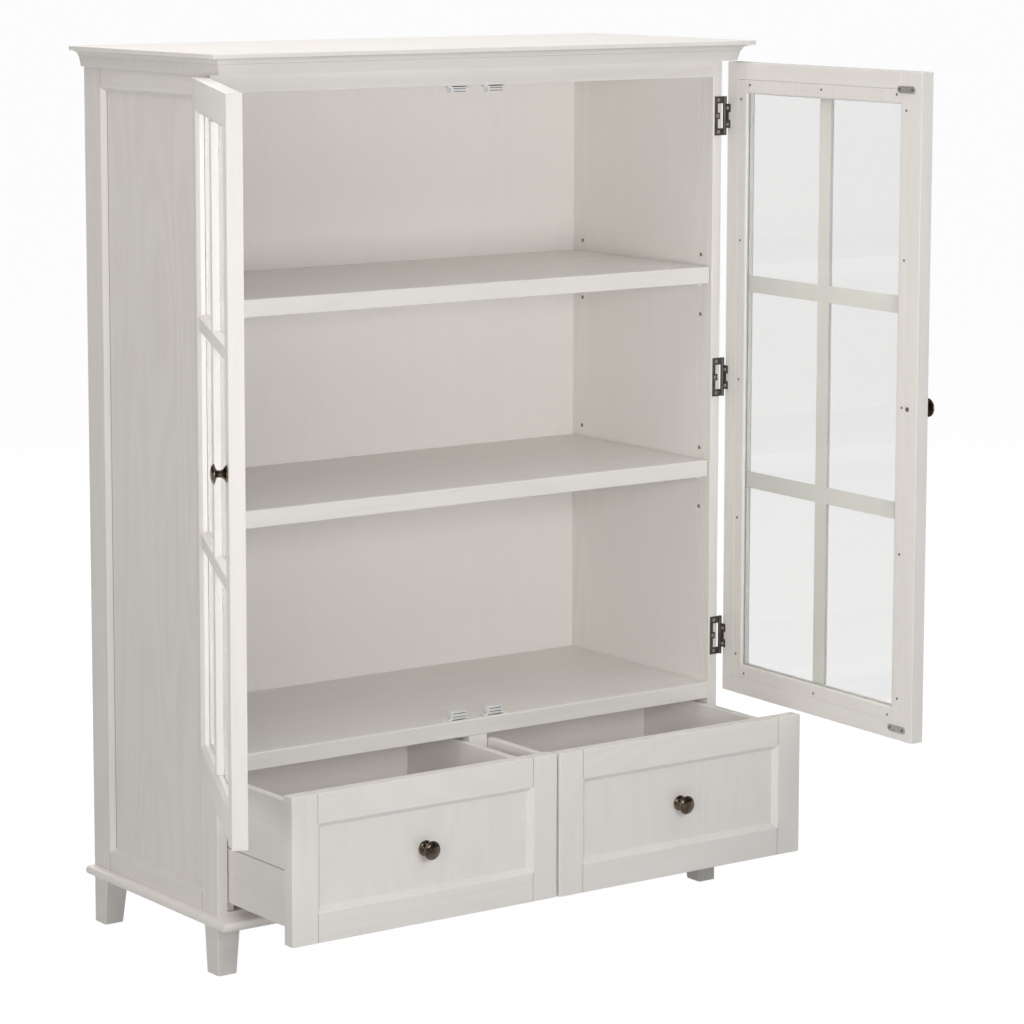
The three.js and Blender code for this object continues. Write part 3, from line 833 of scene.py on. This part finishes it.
def catches(rise_from, direction, name):
    """Two catches side by side: a moulded housing with screw ears, and a pair of steel strips each."""
    high = CATCH_HIGH[name]

    def level(point, rise):
        point.z = rise_from + direction * rise * MM
        return point

    def housings(bm):
        for _, sign in SIDES:
            for span, rise, soft in ((CATCH_BODY, high, 0.9), (CATCH_EARS, CATCH_EAR_HIGH, 0.7)):
                near = level(case_point(sign * span[0], CATCH_FRONT, 0), 0)
                far = level(case_point(sign * span[1], CATCH_BACK, 0), rise)
                block(bm, near, far, soft)

    def strips(bm):
        for _, sign in SIDES:
            for share in CATCH_STRIP_LEVELS:
                start = high * share
                near = level(case_point(sign * CATCH_STRIP[0], CATCH_FRONT - CATCH_STRIP_PROUD, 0), start)
                far = case_point(sign * CATCH_STRIP[1], CATCH_BACK - CATCH_STRIP_SHORT, 0)
                far = level(far, start + CATCH_STRIP_T)
                block(bm, near, far, 0.2, 2)

    def ear_screws(bm):
        for _, sign in SIDES:
            for x in CATCH_SCREWS:
                spot = level(case_point(sign * x, (CATCH_FRONT + CATCH_BACK) / 2, 0), CATCH_EAR_HIGH)
                screw(bm, spot, UP * direction, CATCH_SCREW_R)

    make_piece(f"{name}_catch_housings", "case", housings, [WHITE_PLASTIC])
    make_piece(f"{name}_catch_strips", "case", strips, [CATCH_STEEL])
    make_piece(f"{name}_catch_screws", "case", ear_screws, [SCREW_STEEL])


catches(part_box("ceiling_board")[0].z, -1, "upper")
catches(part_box("deck")[1].z, 1, "lower")


# ---- shelf supports ----
HOLE_PITCH = 46.5 * MM
PIN_DEPTHS = (27, 331)
PIN_DROP = 3.6 * MM
PIN_STEPS = 24
PIN_PROFILE = [(-0.2, 0), (-0.2, 4.6), (1.4, 4.6), (1.8, 4.2), (1.8, 3.2), (7.2, 3.0), (8.0, 2.2), (8.0, 0)]
PAD_FROM, PAD_TO = 1.6 * MM, 9.5 * MM
PAD_HALF = 4.5 * MM
PAD_BOTTOM, PAD_TOP = 2.0 * MM, 3.5 * MM
# Painted shade: a dark disc, barely proud of the panel, for the shade inside an empty pin hole.
HOLE_SHADE_PROFILE = [(-0.1, 0), (-0.1, 3.1), (0.12, 3.1), (0.12, 2.6), (0.02, 2.3), (0.02, 0)]


def pin_rows():
    """(x of the inner face, direction inwards, y) for each column of shelf pin holes."""
    for side, sign in SIDES:
        lo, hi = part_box(f"{side}_side_panel")
        inner = hi.x if sign < 0 else lo.x
        for depth in PIN_DEPTHS:
            yield inner, Vector((-sign, 0, 0)), row_y(depth)


def supports(bm):
    for inner, inwards, y in pin_rows():
        for shelf in ("lower_shelf", "upper_shelf"):
            seat = Vector((inner, y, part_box(shelf)[0].z - PIN_DROP))
            turned(bm, PIN_PROFILE, seat, inwards, PIN_STEPS)
            near = seat + inwards * PAD_FROM + Vector((0, -PAD_HALF, PAD_BOTTOM))
            far = seat + inwards * PAD_TO + Vector((0, PAD_HALF, PAD_TOP))
            block(bm, near, far, 0.5, 2)


# Dark discs of painted shade at the empty pin holes above and below each pin.
def hole_shade_discs(bm):
    for inner, inwards, y in pin_rows():
        for shelf in ("lower_shelf", "upper_shelf"):
            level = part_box(shelf)[0].z - PIN_DROP
            for step in (-1, 1):
                spot = Vector((inner, y, level + step * HOLE_PITCH))
                turned(bm, HOLE_SHADE_PROFILE, spot, inwards, PIN_STEPS)


make_piece("shelf_pins", "case", supports, [CLEAR_PLASTIC])
make_piece("shelf_pin_holes", "case", hole_shade_discs, [HOLE_SHADE_PLASTIC])


# ---- back panel screws ----
BACK_SCREW_IN = 9 * MM
BACK_SCREW_SUNK = 0.9 * MM
BACK_SCREW_R = 2.4
BACK_COLUMNS, BACK_ROWS = 5, 7


def back_screws(bm):
    """Screws all round the back panel, with their heads just under its outer face."""
    lo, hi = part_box("back_panel")
    across = hi.x - lo.x - 2 * BACK_SCREW_IN
    tall = hi.z - lo.z - 2 * BACK_SCREW_IN
    for i in range(BACK_COLUMNS):
        for k in range(BACK_ROWS):
            if i in (0, BACK_COLUMNS - 1) or k in (0, BACK_ROWS - 1):
                x = lo.x + BACK_SCREW_IN + across * i / (BACK_COLUMNS - 1)
                z = lo.z + BACK_SCREW_IN + tall * k / (BACK_ROWS - 1)
                screw(bm, Vector((x, hi.y - BACK_SCREW_SUNK, z)), BACKWARD, BACK_SCREW_R)


make_piece("back_panel_screws", "case", back_screws, [SCREW_STEEL])


# ---- stage, light and camera ----
def emitter(name, size, place, aim, power, colour=(1, 1, 1)):
    data = bpy.data.lights.new(name, "AREA")
    data.shape = "RECTANGLE"
    data.size, data.size_y = size
    data.energy = power
    data.color = colour
    obj = bpy.data.objects.new(name, data)
    bpy.context.scene.collection.objects.link(obj)
    obj.location = place
    obj.rotation_mode = "QUATERNION"
    obj.rotation_quaternion = (Vector(aim) - Vector(place)).to_track_quat("-Z", "Y")
    obj.visible_camera = False
    return obj


FLOOR_HALF = 90
SHEET_Z = -0.0004
BOUNCE_Z = -0.0012


def floor_plane(name, height, material):
    bm = bmesh.new()
    bmesh.ops.create_grid(bm, x_segments=8, y_segments=8, size=FLOOR_HALF)
    mesh = bpy.data.meshes.new(name)
    bm.to_mesh(mesh)
    bm.free()
    mesh.materials.append(material)
    obj = bpy.data.objects.new(name, mesh)
    obj.location = (0, 0, height)
    bpy.context.scene.collection.objects.link(obj)
    return obj


def floor_finish(name, dark, light, glow):
    graph = Graph(name)
    mottle = graph.noise(1.5, None, 2.0, 0.5)
    colour = graph.ramp(mottle, [(0.3, (dark,) * 3), (0.7, (light,) * 3)])
    return graph.finish(
        Base_Color=colour,
        Roughness=0.9,
        Specular_IOR_Level=0.1,
        Emission_Color=(1, 1, 1, 1),
        Emission_Strength=glow,
    )


# The white sheet that shows, and the plain floor under it that light bounces off.
sheet = floor_plane("floor_sheet", SHEET_Z, floor_finish("floor_white", 0.10, 0.105, 0.972))
sheet.visible_diffuse = False
sheet.visible_shadow = False
bounce = floor_plane("floor_bounce", BOUNCE_Z, floor_finish("floor_plain", 0.49, 0.51, 0.0))
bounce.visible_camera = False
bounce.visible_glossy = False
bounce.visible_transmission = False

AIM = Vector((CASE_X, FRONT_Y + 0.1, 0.75))
NEUTRAL = (1.0, 1.0, 1.0)
WARM = (1.0, 0.958, 0.91)


def softbox(name, azimuth, elevation, reach, size, power, colour=NEUTRAL):
    """A soft light that faces the case from a compass angle round it and an angle above the horizon."""
    a, e = math.radians(azimuth), math.radians(elevation)
    away = Vector((math.sin(a) * math.cos(e), -math.cos(a) * math.cos(e), math.sin(e)))
    return emitter(name, size, AIM + away * reach, AIM, power, colour)


softbox("front", -12, 7, 2.3, (1.2, 0.72), 18.3)
softbox("front_left", -50, 5, 4.4, (1.8, 1.1), 33)
softbox("high_right", 20, 52, 2.3, (1.2, 1.2), 10)
softbox("side_low", -80, 7, 2.3, (1.2, 0.72), 6.2, WARM)
softbox("side_high", -80, 52, 2.3, (1.2, 1.2), 11.6, WARM)
softbox("right_fill", 78, 20, 4.4, (1.8, 1.8), 14)
softbox("rear_fill", 170, 22, 4.4, (2.4, 1.8), 50)
# The top light is left out of reflections, so that the top board doesn't glare from above.
over = emitter("over", (2.4, 2.4), AIM + Vector((0.2, 0.6, 3.2)), AIM, 57)
over.visible_glossy = False

world = bpy.data.worlds.new("studio")
bpy.context.scene.world = world
world.use_nodes = True
world.node_tree.nodes["Background"].inputs["Color"].default_value = (1, 0.995, 0.99, 1)
world.node_tree.nodes["Background"].inputs["Strength"].default_value = 0.03

CAMERA_PLACE = (-3069.9, -4306.4, 1517.3)
CAMERA_YAW = -35.178
CAMERA_PITCH = 7.55
CAMERA_LENS = 126.35
CAMERA_SHIFT = (0.051, -0.118)
camera_data = bpy.data.cameras.new("camera")
camera = bpy.data.objects.new("camera", camera_data)
bpy.context.scene.collection.objects.link(camera)
camera.location = case_point(*CAMERA_PLACE)
yaw, pitch = math.radians(CAMERA_YAW), math.radians(CAMERA_PITCH)
back = Vector((math.sin(yaw) * math.cos(pitch), -math.cos(yaw) * math.cos(pitch), math.sin(pitch)))
camera.rotation_mode = "QUATERNION"
camera.rotation_quaternion = (-back).to_track_quat("-Z", "Y")
camera_data.sensor_width = 36
camera_data.lens = CAMERA_LENS
camera_data.shift_x, camera_data.shift_y = CAMERA_SHIFT
camera_data.clip_end = 500
bpy.context.scene.camera = camera
bpy.context.scene.view_settings.view_transform = "Standard"
